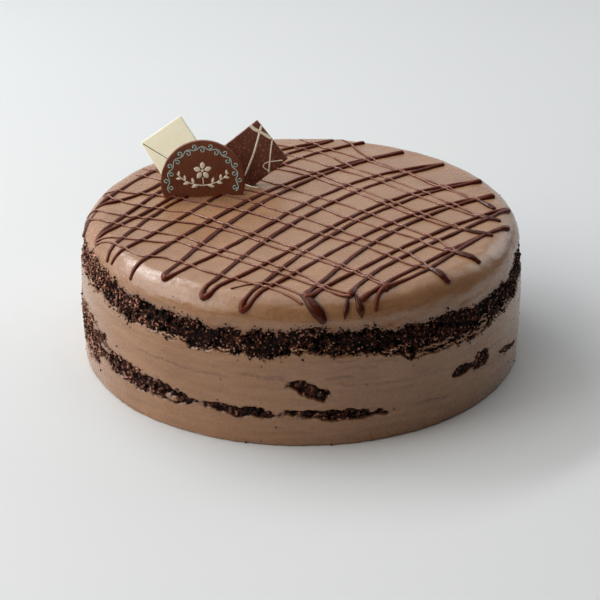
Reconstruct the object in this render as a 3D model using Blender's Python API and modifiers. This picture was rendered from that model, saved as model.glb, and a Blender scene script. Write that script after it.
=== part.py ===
"""A round two-layer chocolate cake with a drizzled top and three chocolate plaques.

The cake stands on the plane z = 0 with its axis on the origin. Angles are measured round the
axis from the front (-Y) towards +X. All sizes are in metres.
"""

import math

import bmesh
import bpy
from mathutils import Matrix, Vector, noise

MM = 0.001
TINY = 0.001 * MM

# Cake body
RADIUS = 120.3 * MM              # widest, about a third of the way up
FOOT_TUCK = 0.7 * MM             # how far the foot draws in
TOP_TUCK = 2.6 * MM              # how far the wall draws in below the shoulder
BELLY_HEIGHT = 35 * MM
RIM_HEIGHT = 78.5 * MM
SHOULDER = 12.6 * MM             # radius of the rounded top edge
CROWN = 1.5 * MM                 # rise of the top at the axis
FOOT_ROUND = 1.2 * MM
GAP = 0.3 * MM                   # clearance between neighbouring pieces

# Turned pieces
STEPS = 72
CROWN_RINGS = (0, 0.5, 0.8, 1)   # rings of the top, as shares of its flat radius
ARC_POINTS = 5                   # points round the shoulder
SHARP = 35                       # edges sharper than this stay sharp in the shading, degrees
SPLIT_HEIGHT = 58.4 * MM         # a plane that lies inside the upper sponge all the way round

# Upper sponge: its bare edge shows between two wavy seams, (angle, height in mm)
UPPER_TOP = ((-180, 67), (-150, 68), (-120, 66), (-90, 69), (-65, 70), (-40, 65), (-10, 61.5),
             (0, 65.5), (12, 62), (32, 61), (50, 60), (62, 61), (74, 65), (100, 68), (130, 65),
             (155, 68))
UPPER_BOTTOM = ((-180, 50), (-140, 54), (-110, 52), (-82, 56.5), (-65, 56), (-45, 52), (-10, 49.5),
                (0, 52), (12, 50), (22, 48), (28, 43.5), (48, 43.5), (60, 46), (75, 50),
                (100, 54), (140, 49))
UPPER_CORE = (50.5 * MM, 65.5 * MM)   # flat inner faces of the upper sponge
CORE_RADIUS = 103 * MM

# Lower sponge: under a thin coat, bare where the coat is scraped through
LOWER_SPONGE = (13 * MM, 38 * MM)
COAT = 2.5 * MM
LOWER_ROWS = 9
UPPER_ROWS = 4
CRAG = 0.8 * MM                  # depth of the crumb relief
CRAG_SCALE = 9 * MM
COAT_CLEARANCE = 0.45 * MM       # sideways gap behind the coat
PROUD = 0.5 * MM                 # the bare crumb stands this far out of the coat
PATCH_EDGE = 2.2                 # how steeply a patch rises from the coat at its edge
CUTTER_BRIM = 5 * MM             # how far a cutter reaches out of the wall

# Scraped patches: angle, half width in degrees, height, slope per degree, half height in mm
PATCHES = (
    (-73, 16, 25.5, 0.0, 13.0),
    (-47, 19, 21.5, -0.10, 6.0),
    (-14, 11, 18.3, -0.03, 3.0),
    (8, 12, 17.8, -0.13, 3.0),
    (2, 5.8, 32.0, -0.80, 4.0),
    (43.8, 3.8, 26.8, 0.25, 2.8),
    (50.8, 3.4, 26.6, 0.0, 5.6),
    (66, 6, 19.5, -0.45, 1.8),
    (100, 15, 20.0, 0.0, 5.5),
    (128, 10, 31.0, -0.30, 4.0),
    (156, 13, 18.5, 0.08, 3.2),
    (-166, 16, 24.0, -0.12, 6.5),
    (-131, 12, 19.0, 0.08, 3.4),
    (-104, 9, 30.0, 0.25, 4.5),
)

# Drizzle: heavy strands zigzag over the top. Each turn is its angle, its reach (the way along
# the surface from the axis) and, for the stroke that follows it, the sideways bow and how much
# of it comes late in the stroke. Reach, bow and late bow are in mm.
STRAND = 1.15 * MM               # radius of a strand
STROKE_STEP = 19                 # mean distance between the points of a strand, mm
FRONT_TURN = 75                  # turns this far round from the front swell, degrees
SWELL_POINTS = 3                 # points of a strand from its turn to where the swelling ends
SUNK = 0.35                      # share of a strand's radius that its centre is raised by
SWELL = 1.35                     # how much a strand swells at its front turns
ZIGZAGS = (
    ((-142.5, 103, 3, 0), (-92, 111.5, 2, 19), (-168, 104, 7, -4), (-70.7, 115, 11, 13),
     (170, 104, 13, 1), (-60, 116.5)),
    ((-57.5, 116, 10, 11), (160, 106)),
    ((-48, 117.5, 14.5, 6), (145, 102, 17, -3), (-38, 110.5, 11.5, 16), (128.5, 103.5, 14.5, -2),
     (-25, 115, 10, 15), (111, 106.5, 15, -4), (-14.3, 118, 10, 9), (99, 105.8, 12, -2.5),
     (1.3, 109.5, 4, 3), (90.5, 112, 4, 6), (12.5, 109.5)),
    ((15.5, 112.5, 1.5, 1), (77.7, 111.5, -1, -5.5), (22.7, 107.5, 2, 0), (18.2, 119)),
)
DRIPS = (
    # from, to, thickness against a strand's
    ((0.5, 108), (5, 121.5), 2.7),
    ((12, 109), (10.3, 121.5), 1.2),
    ((14, 110), (14.5, 121.5), 1.5),
    ((-90, 110), (-81.5, 120.5), 0.9),
)
DRIP_ENDS = (0.6, 0.9)           # thickness of a drip at its start and its end

# Plaques
THICK = 3 * MM
EDGE_BEVEL = 0.3 * MM
BEVELLED = 40                    # edges sharper than this get the bevel, degrees
ROUND_CENTRE = 8.0 * MM          # height of its centre above the icing
SINK = 4 * MM                    # depth of the plaques in the icing


def side_radius(height):
    """Radius of the smooth wall at a height."""
    low = max(0.0, 1 - height / BELLY_HEIGHT)
    high = max(0.0, (height - BELLY_HEIGHT) / (RIM_HEIGHT - SHOULDER - BELLY_HEIGHT))
    return RADIUS - FOOT_TUCK * low ** 2 - TOP_TUCK * min(high, 1.0) ** 2


TOP_RADIUS = side_radius(RIM_HEIGHT - SHOULDER)
FLAT_RADIUS = TOP_RADIUS - SHOULDER


def on_surface(angle, reach, lift):
    """Point on the top, the shoulder or the wall, lifted off along the surface's normal."""
    around = Vector((math.sin(math.radians(angle)), -math.cos(math.radians(angle)), 0))
    up = Vector((0, 0, 1))
    arc = reach - FLAT_RADIUS
    if arc <= 0:
        height = RIM_HEIGHT + CROWN * (1 - (reach / FLAT_RADIUS) ** 2)
        return around * reach + up * (height + lift)
    turn = min(arc / SHOULDER, math.pi / 2)
    normal = around * math.sin(turn) + up * math.cos(turn)
    centre = around * FLAT_RADIUS + up * (RIM_HEIGHT - SHOULDER)
    below = max(0.0, arc - SHOULDER * math.pi / 2)
    return centre + normal * (SHOULDER + lift) - up * below


def smooth(value):
    """Ease from 0 to 1."""
    value = min(1.0, max(0.0, value))
    return value * value * (3 - 2 * value)


def seam(keys, angle):
    """Height of a wavy seam at an angle, eased between its keys all the way round."""
    for index, (start, low) in enumerate(keys):
        end, high = keys[(index + 1) % len(keys)]
        span = (end - start) % 360
        along = (angle - start) % 360
        if along <= span:
            return (low + (high - low) * smooth(along / span)) * MM
    raise ValueError("the keys don't go all the way round")


def crag(angle, height):
    """Crumb relief on a bare sponge edge."""
    around = math.radians(angle)
    spot = Vector((RADIUS * math.sin(around), -RADIUS * math.cos(around), height)) / CRAG_SCALE
    return CRAG * noise.noise(spot)


def bareness(angle, height):
    """How far the coat is scraped through: 0 under it, 1 in the middle of a patch."""
    best = 0.0
    for middle, half_width, level, slope, half_height in PATCHES:
        across = (angle - middle + 180) % 360 - 180
        rise = height / MM - level - slope * across
        best = max(best, 1 - (across / half_width) ** 2 - (rise / half_height) ** 2)
    return smooth(PATCH_EDGE * best)


def remove_everything():
    for obj in list(bpy.data.objects):
        bpy.data.objects.remove(obj, do_unlink=True)


def new_collection(name):
    group = bpy.data.collections.new(name)
    bpy.context.scene.collection.children.link(group)
    return group


def new_material(name, colour, roughness):
    material = bpy.data.materials.new(name)
    material.use_nodes = True
    shader = material.node_tree.nodes["Principled BSDF"]
    shader.inputs["Base Color"].default_value = (*colour, 1)
    shader.inputs["Roughness"].default_value = roughness
    shader.inputs["Metallic"].default_value = 0
    return material


def as_mesh_object(source, name, group):
    """A plain mesh object of what the viewport shows of the source, which is removed."""
    depsgraph = bpy.context.evaluated_depsgraph_get()
    mesh = bpy.data.meshes.new_from_object(source.evaluated_get(depsgraph))
    made = bpy.data.objects.new(name, mesh)
    made.matrix_world = source.matrix_world.copy()
    bpy.data.objects.remove(source, do_unlink=True)
    group.objects.link(made)
    return made


def edit(obj, change):
    """Run one bmesh operation on an object's mesh."""
    cage = bmesh.new()
    cage.from_mesh(obj.data)
    change(cage)
    cage.to_mesh(obj.data)
    cage.free()


def turned(name, profile, group):
    """Solid turned from (radius, height) points that run from the axis down to the axis."""
    mesh = bpy.data.meshes.new(name)
    points = [(radius, 0, height) for radius, height in profile]
    edges = [(index, index + 1) for index in range(len(points) - 1)]
    mesh.from_pydata(points, edges, [])
    outline = bpy.data.objects.new(name + "_profile", mesh)
    group.objects.link(outline)
    screw = outline.modifiers.new("Screw", "SCREW")
    screw.angle = math.tau
    screw.steps = STEPS
    screw.render_steps = STEPS
    screw.use_merge_vertices = True
    screw.merge_threshold = 0.01 * MM
    bpy.context.view_layer.update()
    solid = as_mesh_object(outline, name, group)
    edit(solid, split_quads)
    return solid


def split_quads(cage):
    """Split all faces into triangles by one rule, so that a gap between copies stays even."""
    bmesh.ops.triangulate(cage, faces=cage.faces, quad_method="FIXED", ngon_method="BEAUTY")


def reshape(obj, place):
    """Move each vertex to where place(angle, radius, height) says."""
    for vertex in obj.data.vertices:
        radius = math.hypot(vertex.co.x, vertex.co.y)
        if radius < MM:
            continue
        angle = math.degrees(math.atan2(vertex.co.x, -vertex.co.y))
        new_radius, new_height = place(angle, radius, vertex.co.z)
        share = new_radius / radius
        vertex.co = (vertex.co.x * share, vertex.co.y * share, new_height)


def upper_sponge(name, group, grow):
    """The upper sponge, or with grow the slab that cuts its place out of the icing."""
    low, high = UPPER_CORE
    rows = [high + (low - high) * index / UPPER_ROWS for index in range(UPPER_ROWS + 1)]
    wall = [(RADIUS, height) for height in rows]
    if grow:
        brim = RADIUS + CUTTER_BRIM
        wall = [(RADIUS, high), (brim, high), (brim, low), (RADIUS, low)]
    profile = [(0, high), (CORE_RADIUS, high), *wall, (CORE_RADIUS, low), (0, low)]
    solid = turned(name, profile, group)

    def place(angle, radius, height):
        share = (height - low) / (high - low)
        if radius < RADIUS - MM:
            return radius, height + (2 * share - 1) * grow
        bottom = seam(UPPER_BOTTOM, angle) - grow
        top = seam(UPPER_TOP, angle) + grow
        level = bottom + (top - bottom) * share
        bare = side_radius(level) + crag(angle, level)
        if radius > RADIUS + MM:
            return bare + CUTTER_BRIM, level
        return bare, level

    reshape(solid, place)
    for vertex in solid.data.vertices:
        if math.hypot(vertex.co.x, vertex.co.y) < MM:
            vertex.co.z += grow if vertex.co.z > (low + high) / 2 else -grow
    return solid


def lower_sponge(name, group, grow, aside):
    """The lower sponge, or its place in the icing when it grows up, down and aside."""
    low, high = LOWER_SPONGE
    rows = [high + (low - high) * index / LOWER_ROWS for index in range(LOWER_ROWS + 1)]
    profile = [(0, high), *((RADIUS, height) for height in rows), (0, low)]
    solid = turned(name, profile, group)

    def place(angle, radius, height):
        covered = side_radius(height) - COAT
        bare = side_radius(height) + PROUD + crag(angle, height)
        return covered + (bare - covered) * bareness(angle, height) + aside, height

    reshape(solid, place)
    for vertex in solid.data.vertices:
        if vertex.co.z > high - TINY:
            vertex.co.z += grow
        if vertex.co.z < low + TINY:
            vertex.co.z -= grow
    return solid


def icing_block(name, group, top, bottom):
    """Solid of icing between two levels, before its sponge is cut out."""
    profile = []
    if top > SPLIT_HEIGHT:
        for share in CROWN_RINGS:
            profile.append((FLAT_RADIUS * share, RIM_HEIGHT + CROWN * (1 - share ** 2)))
        for index in range(1, ARC_POINTS + 1):
            turn = math.pi / 2 * index / ARC_POINTS
            out = FLAT_RADIUS + SHOULDER * math.sin(turn)
            profile.append((out, RIM_HEIGHT - SHOULDER * (1 - math.cos(turn))))
    else:
        profile += [(0, top), (side_radius(top), top)]
    wall_levels = (BELLY_HEIGHT, BELLY_HEIGHT / 3, FOOT_ROUND)
    profile += [(side_radius(level), level) for level in wall_levels if bottom < level]
    if bottom > 0:
        profile.append((side_radius(bottom), bottom))
    else:
        profile.append((side_radius(0) - FOOT_ROUND / 2, FOOT_ROUND / 4))
        profile.append((side_radius(0) - FOOT_ROUND, 0))
    profile.append((0, bottom))
    block = turned(name, profile, group)
    block.data.transform(Matrix.Rotation(math.pi / STEPS, 4, "Z"))
    return block


def flat_spot(turn):
    """A turn on the surface as if the top, shoulder and wall lay flat, in mm."""
    angle = math.radians(turn[0])
    return Vector((math.sin(angle), -math.cos(angle))) * turn[1]


def stroke_points(start, end, step):
    """Points of one bowed stroke, close together over the shoulder at both its ends."""
    from_spot, to_spot = flat_spot(start), flat_spot(end)
    bow, late = start[2:] or (0, 0)
    along = to_spot - from_spot
    aside = Vector((-along.y, along.x)).normalized()
    if aside.y < 0:
        aside = -aside
    count = max(6, round(along.length / step))
    points = []
    for index in range(count + 1):
        share = 0.5 - 0.5 * math.cos(math.pi * index / count)
        out = (bow + late * (2 * share - 1)) * 4 * share * (1 - share)
        spot = from_spot + along * share + aside * out
        points.append((math.degrees(math.atan2(spot.x, -spot.y)), spot.length * MM))
    return points


def strand(name, group, stroke, swell, thickness=1.0):
    """Tube along a stroke, half sunk in the icing. swell gives the thickness at each end."""
    radius = STRAND * thickness
    curve = bpy.data.curves.new(name, "CURVE")
    curve.dimensions = "3D"
    curve.bevel_depth = radius
    curve.bevel_resolution = 1
    curve.use_fill_caps = True
    spline = curve.splines.new("POLY")
    spline.points.add(len(stroke) - 1)
    last = len(stroke) - 1
    for index, (angle, reach) in enumerate(stroke):
        first_swell = smooth(1 - index / SWELL_POINTS) * (swell[0] - 1)
        last_swell = smooth(1 - (last - index) / SWELL_POINTS) * (swell[1] - 1)
        spline.points[index].co = (*on_surface(angle, reach, radius * SUNK), 1)
        spline.points[index].radius = 1 + first_swell + last_swell
    tube = bpy.data.objects.new(name, curve)
    group.objects.link(tube)
    bpy.context.view_layer.update()
    made = as_mesh_object(tube, name, group)
    edit(made, lambda cage: bmesh.ops.remove_doubles(cage, verts=cage.verts, dist=TINY))


def lay_drizzle(group):
    """All heavy strands, stroke by stroke along the zigzags, and the drips at their turns."""
    for turns in ZIGZAGS:
        for start, end in zip(turns, turns[1:]):
            swell = [SWELL if abs(turn[0]) < FRONT_TURN else 1 for turn in (start, end)]
            stroke = stroke_points(start, end, STROKE_STEP)
            strand(f"strand_{len(group.objects)}", group, stroke, swell)
    for start, end, thickness in DRIPS:
        stroke = stroke_points(start, end, STROKE_STEP)
        strand(f"drip_{len(group.objects)}", group, stroke, DRIP_ENDS, thickness)


def fuse(obj, group):
    """Join a collection's objects to one object, and remove them."""
    joining = obj.modifiers.new("Union", "BOOLEAN")
    joining.operation = "UNION"
    joining.operand_type = "COLLECTION"
    joining.collection = group
    joining.solver = "EXACT"
    bpy.context.view_layer.objects.active = obj
    bpy.ops.object.modifier_apply(modifier=joining.name)
    for loose in list(group.objects):
        bpy.data.objects.remove(loose, do_unlink=True)
    bpy.data.collections.remove(group)


def cut(obj, cutter):
    cutter.hide_render = True
    cutter.display_type = "WIRE"
    cutting = obj.modifiers.new("Cut", "BOOLEAN")
    cutting.operation = "DIFFERENCE"
    cutting.object = cutter
    cutting.solver = "EXACT"


def square_plaque(name, group, side, grow):
    """Square plate standing on one corner, which is at its own origin."""
    bpy.ops.mesh.primitive_cube_add(size=1)
    plate = bpy.context.active_object
    plate.name = name
    for parent in plate.users_collection:
        parent.objects.unlink(plate)
    group.objects.link(plate)
    middle = side / 2
    size = (side + 2 * grow, side + 2 * grow, THICK + 2 * grow)
    plate.data.transform(Matrix.Translation((middle, middle, 0)) @ Matrix.Diagonal((*size, 1)))
    return plate


def round_plaque(name, group, side, grow):
    """Round plate with a flat foot. Its own origin is at the level of the icing."""
    radius = side / 2 + grow
    foot = -SINK - grow
    half_gap = math.acos((ROUND_CENTRE - foot) / radius)
    start = -math.pi / 2 + half_gap
    sweep = math.tau - 2 * half_gap
    arc_steps = 28
    curve = bpy.data.curves.new(name, "CURVE")
    curve.dimensions = "2D"
    curve.fill_mode = "BOTH"
    curve.extrude = THICK / 2 + grow
    spline = curve.splines.new("POLY")
    spline.points.add(arc_steps)
    spline.use_cyclic_u = True
    for index in range(arc_steps + 1):
        turn = start + sweep * index / arc_steps
        spot = (radius * math.cos(turn), ROUND_CENTRE + radius * math.sin(turn), 0, 1)
        spline.points[index].co = spot
    outline = bpy.data.objects.new(name + "_outline", curve)
    group.objects.link(outline)
    bpy.context.view_layer.update()
    plate = as_mesh_object(outline, name, group)
    edit(plate, lambda cage: bmesh.ops.remove_doubles(cage, verts=cage.verts, dist=TINY))
    return plate


def stand(obj, foot, yaw, lean, roll):
    """Stand a plate up facing the front, leaning back, rolled in its own plane."""
    turns = [Matrix.Rotation(math.radians(yaw), 4, "Z"),
             Matrix.Rotation(math.radians(90 - lean), 4, "X"),
             Matrix.Rotation(math.radians(roll), 4, "Z")]
    obj.matrix_world = Matrix.Translation(foot) @ turns[0] @ turns[1] @ turns[2]


# Plaques: name, maker, size, foot, (yaw, lean, roll) in degrees, colour
PLAQUES = (
    ("plaque_round", round_plaque, 46 * MM, (-53.8 * MM, 16 * MM, 79.7 * MM), (4, 8, 0),
     (0.13, 0.045, 0.022)),
    ("plaque_white", square_plaque, 27.5 * MM, (-75.7 * MM, 45.5 * MM, 74.9 * MM), (-10.5, 26, 38),
     (0.85, 0.78, 0.56)),
    ("plaque_dark", square_plaque, 27.5 * MM, (-28.8 * MM, 31 * MM, 77.5 * MM), (0, 12, 38.5),
     (0.075, 0.024, 0.015)),
)


def add_plaques(group, cutters, icing):
    """Each plaque stands in a socket cut in the icing, with a bevel on its edges."""
    for name, make, side, foot, pose, colour in PLAQUES:
        plate = make(name, group, side, 0)
        socket = make(name + "_socket", cutters, side, GAP)
        for piece in (plate, socket):
            stand(piece, foot, *pose)
        bevel = plate.modifiers.new("Bevel", "BEVEL")
        bevel.width = EDGE_BEVEL
        bevel.segments = 1
        bevel.limit_method = "ANGLE"
        bevel.angle_limit = math.radians(BEVELLED)
        plate.data.materials.append(new_material(name, colour, 0.4))
        cut(icing, socket)


def finish_look(obj, material):
    """Give an object its material and smooth shading with sharp edges kept."""
    obj.data.materials.clear()
    obj.data.materials.append(material)
    obj.data.shade_smooth()
    obj.data.set_sharp_from_angle(angle=math.radians(SHARP))


def build():
    remove_everything()
    cake = new_collection("chocolate_cake")
    cutters = new_collection("cutters")

    icing_top = icing_block("icing_top", cake, RIM_HEIGHT + CROWN, SPLIT_HEIGHT)
    drizzle = new_collection("drizzle")
    lay_drizzle(drizzle)
    fuse(icing_top, drizzle)
    icing_lower = icing_block("icing_lower", cake, SPLIT_HEIGHT, 0)

    sponge_upper = upper_sponge("sponge_upper", cake, 0)
    sponge_lower = lower_sponge("sponge_lower", cake, 0, 0)
    upper_place = upper_sponge("sponge_upper_place", cutters, GAP)
    lower_place = lower_sponge("sponge_lower_place", cutters, GAP, COAT_CLEARANCE)
    cut(icing_top, upper_place)
    cut(icing_lower, upper_place)
    cut(icing_lower, lower_place)
    add_plaques(cake, cutters, icing_top)

    cream = new_material("icing", (0.37, 0.195, 0.115), 0.35)
    crumb = new_material("sponge", (0.035, 0.015, 0.01), 0.9)
    for piece in (icing_top, icing_lower):
        finish_look(piece, cream)
    for piece in (sponge_upper, sponge_lower):
        finish_look(piece, crumb)


build()
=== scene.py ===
# The looks of a round two-layer chocolate cake: smeared icing scraped thin over dark crumb,
# a drizzled top and three chocolate plaques. Metres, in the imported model's own frame: the cake
# stands on z = 0 with its axis on the origin, and angles run from the front (-Y) towards +X.
import math

import bmesh
import bpy
import numpy as np
from mathutils import Matrix, Vector


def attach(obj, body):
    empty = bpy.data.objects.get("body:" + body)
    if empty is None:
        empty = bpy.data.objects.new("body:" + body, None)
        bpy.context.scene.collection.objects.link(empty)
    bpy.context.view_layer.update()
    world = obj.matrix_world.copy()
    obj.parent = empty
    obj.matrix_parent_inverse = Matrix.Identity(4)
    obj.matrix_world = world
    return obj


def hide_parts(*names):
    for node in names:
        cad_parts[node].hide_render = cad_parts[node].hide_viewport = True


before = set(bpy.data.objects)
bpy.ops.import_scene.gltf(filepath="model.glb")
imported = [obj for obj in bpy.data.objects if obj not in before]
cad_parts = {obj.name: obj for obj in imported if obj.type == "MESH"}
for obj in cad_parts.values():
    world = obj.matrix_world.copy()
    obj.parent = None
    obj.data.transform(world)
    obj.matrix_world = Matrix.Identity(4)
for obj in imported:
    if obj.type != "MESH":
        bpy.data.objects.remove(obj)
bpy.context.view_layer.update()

MM = 0.001

# The cake's outline, as in the part's source
RADIUS = 120.3 * MM
FOOT_TUCK = 0.7 * MM
TOP_TUCK = 2.6 * MM
BELLY_HEIGHT = 35 * MM
RIM_HEIGHT = 78.5 * MM
SHOULDER = 12.6 * MM
CROWN = 1.5 * MM
FOOT_ROUND = 1.2 * MM

# Seams of the upper sponge, (angle, height in mm)
UPPER_TOP = ((-180, 67), (-150, 68), (-120, 66), (-90, 69), (-65, 70), (-40, 65), (-10, 61.5),
             (0, 65.5), (12, 62), (32, 61), (50, 60), (62, 61), (74, 65), (100, 68), (130, 65),
             (155, 68))
UPPER_BOTTOM = ((-180, 50), (-140, 54), (-110, 52), (-82, 56.5), (-65, 56), (-45, 52), (-10, 49.5),
                (0, 52), (12, 50), (22, 48), (28, 43.5), (48, 43.5), (60, 46), (75, 50),
                (100, 54), (140, 49))

# Torn edges of the seams: height and size of the tears and of the nicks in them
TEARS = (1.2 * MM, 8 * MM)
NICKS = (1.15 * MM, 3 * MM)
# Relief of the scraper's marks: height and size of the streaks and of the soft waves
STREAKS = (0.16 * MM, 2.6 * MM)
WAVES = (0.28 * MM, 14 * MM)

# Patches scraped bare on the lower layer: angle, half width in degrees, height, slope per
# degree, half height in mm
PATCHES = (
    (-73, 16, 25.5, 0.0, 13.0),
    (-47, 19, 21.5, -0.10, 6.0),
    (-14, 11, 18.3, -0.03, 3.0),
    (8, 12, 17.8, -0.13, 3.0),
    (2, 5.8, 32.0, -0.80, 4.0),
    (43.8, 3.8, 26.8, 0.25, 2.8),
    (50.8, 3.4, 26.6, 0.0, 5.6),
    (66, 6, 19.5, -0.45, 1.8),
    (100, 15, 20.0, 0.0, 5.5),
    (128, 10, 31.0, -0.30, 4.0),
    (156, 13, 18.5, 0.08, 3.2),
    (-166, 16, 24.0, -0.12, 6.5),
    (-131, 12, 19.0, 0.08, 3.4),
    (-104, 9, 30.0, 0.25, 4.5),
)

# Heavy drizzle, as in the part's source: each turn is its angle, its reach along the surface
# from the axis, and the sideways bow and late bow of the stroke that follows, in mm
STRAND = 1.25 * MM
ZIGZAGS = (
    ((-142.5, 103, 3, 0), (-92, 111.5, 2, 19), (-168, 104, 7, -4), (-70.7, 115, 11, 13),
     (170, 104, 13, 1), (-60, 116.5)),
    ((-57.5, 116, 10, 11), (160, 106)),
    ((-48, 117.5, 14.5, 6), (145, 102, 17, -3), (-38, 110.5, 11.5, 16), (128.5, 103.5, 14.5, -2),
     (-25, 115, 10, 15), (111, 106.5, 15, -4), (-14.3, 118, 10, 9), (99, 105.8, 12, -2.5),
     (1.3, 109.5, 4, 3), (90.5, 112, 4, 6), (12.5, 109.5)),
    ((15.5, 112.5, 1.5, 1), (77.7, 111.5, -1, -5.5), (22.7, 107.5, 2, 0), (18.2, 119)),
)
HOOK = (18.2, 119)  # the last turn, a thin hook
# Drips: from, to, thickness against a strand's
DRIPS = (
    ((0.5, 108), (5, 121.5), 2.7),
    ((12, 109), (10.3, 121.5), 1.05),
    ((14, 110), (14.5, 121.5), 1.5),
    ((-90, 110), (-81.5, 120.5), 0.9),
)
BLUNT = 2  # a drip thicker than this ends blunt

# How much a heavy strand swells: at turns up to each angle, and at the hook
TURN_SWELLS = ((-45, 0.75), (75, 1.45), (125, 1.55), (180, 1.2))
HOOK_SWELL = 0.75
SWELL_LENGTH = 7  # mm
# Turns between these angles are opened to round bends: how far each stroke is pushed aside, and
# how far from the turn, in mm
BENDS = (-50, 20)
BEND_WIDTH = 1.3
BEND_PLACE = 3.5
STROKE_STEP = 1.3  # mm between the points of a stroke

# Lines that the scraper scored in the lower layer: angle and height in mm at both ends, depth
GROOVES = (
    (-46, 38.2, -34, 37.8, 0.35),
    (-35, 37.8, -26, 36.9, 0.45),
    (-27, 36.9, -17, 36.9, 0.3),
    (-16, 39.3, -2, 38.7, 0.35),
    (-10, 38.6, -2.2, 36.9, 0.3),
    (5, 38.4, 13, 38.6, 0.4),
    (8, 47.6, 13, 47.0, 0.3),
    (9, 43.8, 19, 42.5, 0.3),
    (6.5, 35.3, 26, 31.1, 0.25),
    (24, 31.2, 38, 31.8, 0.25),
    (28, 16.4, 39, 14.8, 0.45),
    (46, 28.7, 61, 29.6, 0.4),
    (48, 21.1, 65, 18.4, 0.35),
    (72, 38, 96, 35, 0.4),
    (110, 22, 131, 24, 0.35),
    (138, 38, 170, 40, 0.4),
    (-175, 33, -150, 36, 0.35),
    (-128, 40, -101, 38, 0.4),
    (-118, 13, -98, 15, 0.3),
)

# Fine drizzle laid over the heavy strands: points in mm on the surface rolled out flat
FINE_STRAND = 0.76 * MM
CLIMB = 0.75 * MM  # how far a fine strand rises over a heavy one
CLIMB_REACH = 1.8  # mm to either side of the heavy one
FINE_STRANDS = (
    ((71, -85), (65, -79), (54, -73), (33, -53), (8, -37), (-14, -19), (-31, -7), (-58, 7),
     (-75, 15), (-90, 20), (-104, 24), (-109, 21), (-98, 9), (-72, -5), (-58, -10), (-35, -29),
     (-5, -54), (20, -75), (34, -88), (42, -96)),
    ((41, -98), (32, -89), (19, -78), (3, -66), (-11, -56), (-28, -41),
     (-46, -28), (-60, -22), (-87, -14), (-104, -6), (-115, 2), (-117, -4), (-105, -17), (-84, -30),
     (-60, -41), (-49, -51), (-21, -70), (3, -89), (9, -98), (24, -107)),
    ((23, -108), (16, -106), (5, -97), (-17, -80), (-39, -65), (-53, -55), (-64, -46), (-70, -47),
     (-98, -39), (-106, -38), (-108, -40), (-101, -43), (-91, -53), (-81, -63), (-68, -66),
     (-44, -84), (-19, -99), (0, -113)),
    ((-34, -101), (-24, -96), (-12, -98), (-1, -107), (3, -109)),
    ((-117, -3), (-119, -9), (-120, -17)),
    ((-93, 48), (-60, 28), (-35, 12), (-14, -5), (9, -23), (31, -42), (49, -55), (60, -69),
     (65, -79)),
    ((-90, 58), (-50, 34), (-11, 12), (12, -5), (26, -18), (49, -35), (59, -42), (67, -52),
     (80, -60), (89, -65)),
    ((-75, 75), (-40, 52), (-10, 28), (13, 9), (25, 0), (46, -20), (66, -39), (73, -47), (80, -59)),
    ((-66, 84), (-34, 66), (-1, 48), (16, 33), (34, 15), (54, -6), (74, -24), (79, -26), (86, -31)),
    ((-62, 91), (-28, 74), (5, 51), (18, 38), (42, 14), (63, -8), (80, -24), (89, -32), (98, -36)),
    ((-40, 98), (-12, 80), (10, 65), (22, 54), (44, 36), (63, 15), (83, -3), (97, -14)),
    ((-28, 103), (0, 88), (17, 76), (29, 58), (51, 38), (70, 18), (87, -1), (95, -10), (103, -16)),
    ((0, 105), (17, 87), (28, 78), (47, 60), (66, 43), (74, 32), (88, 18), (98, 9)),
    ((24, 106), (30, 95), (38, 76), (54, 57), (72, 38), (91, 18), (98, 9), (103, 1)),
)
# Where fine strands run together or end in a bead: points as above, radius in mm
BEADS = (
    ((74, -54), (81, -60), (90, -66), 2.0),
    ((61, -74), (66, -80), (73, -87), 2.0),
    ((41, -95), (42, -98), (41.5, -101), 1.7),
    ((8, -97), (9.5, -99), (11, -100.5), 1.0),
    ((92, -7), (98, -13), (105, -17), 1.7),
    ((80, -27), (89, -32), (99, -36.5), 1.7),
    ((94, 14), (99, 7), (104, 0), 1.7),
    ((-104.5, -37.5), (-107, -38.5), (-107, -41), 0.9),
    ((-119.5, -14), (-120, -17), (-120, -19), 0.8),
)

# Plaques, as in the part's source
THICK = 3 * MM
ROUND_CENTRE = 8.0 * MM
SINK = 4 * MM
ROUND_RADIUS = 23 * MM
SQUARE_SIDE = 27.5 * MM
# Each plaque's foot, and its yaw, lean and roll
ROUND_STAND = ((-53.8 * MM, 16 * MM, 79.7 * MM), (4, 8, 0))
WHITE_STAND = ((-75.7 * MM, 45.5 * MM, 74.9 * MM), (-10.5, 26, 38))
DARK_STAND = ((-28.8 * MM, 31 * MM, 77.5 * MM), (0, 12, 38.5))
FACE = THICK / 2  # height of the front face in a plaque's own plane
CORNER = 0.6 * MM
BEVEL = 0.45 * MM
OUTLINE_STEP = 0.9 * MM

# Painted strokes on the dark plaque: width and points in its own plane in mm
PAINTED = (
    (2.0, ((22.9, 27.0), (23.2, 24.6), (24.8, 21.2), (26.0, 18.2), (27.0, 15.2))),
    (1.3, ((27.0, 23.3), (25.3, 22.0), (14.3, 14.1), (3.3, 7.8))),
    (0.9, ((27.1, 13.6), (22.8, 9.5), (16.8, 3.3), (14.2, 0.8))),
    (0.55, ((24.4, 1.4), (19.0, 4.7), (16.3, 5.9), (14.1, 5.5), (14.2, 3.2), (15.3, 0.8))),
)
PIN = (0.5, ((0.9, 26.2), (8.1, 11.0)))  # the same, on the white plaque
THREAD = ((-33, 36), (-31, 31.5), (-28, 28), (-24, 26))  # flat, as the fine drizzle
THREAD_RADIUS = 0.42 * MM
# Printed border of the round plaque, in mm and degrees
BORDER_RADIUS = 18.9
BORDER_ENDS = (-17, 197)
CURLS = 17
CURL = 1.4  # radius of a curl
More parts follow.
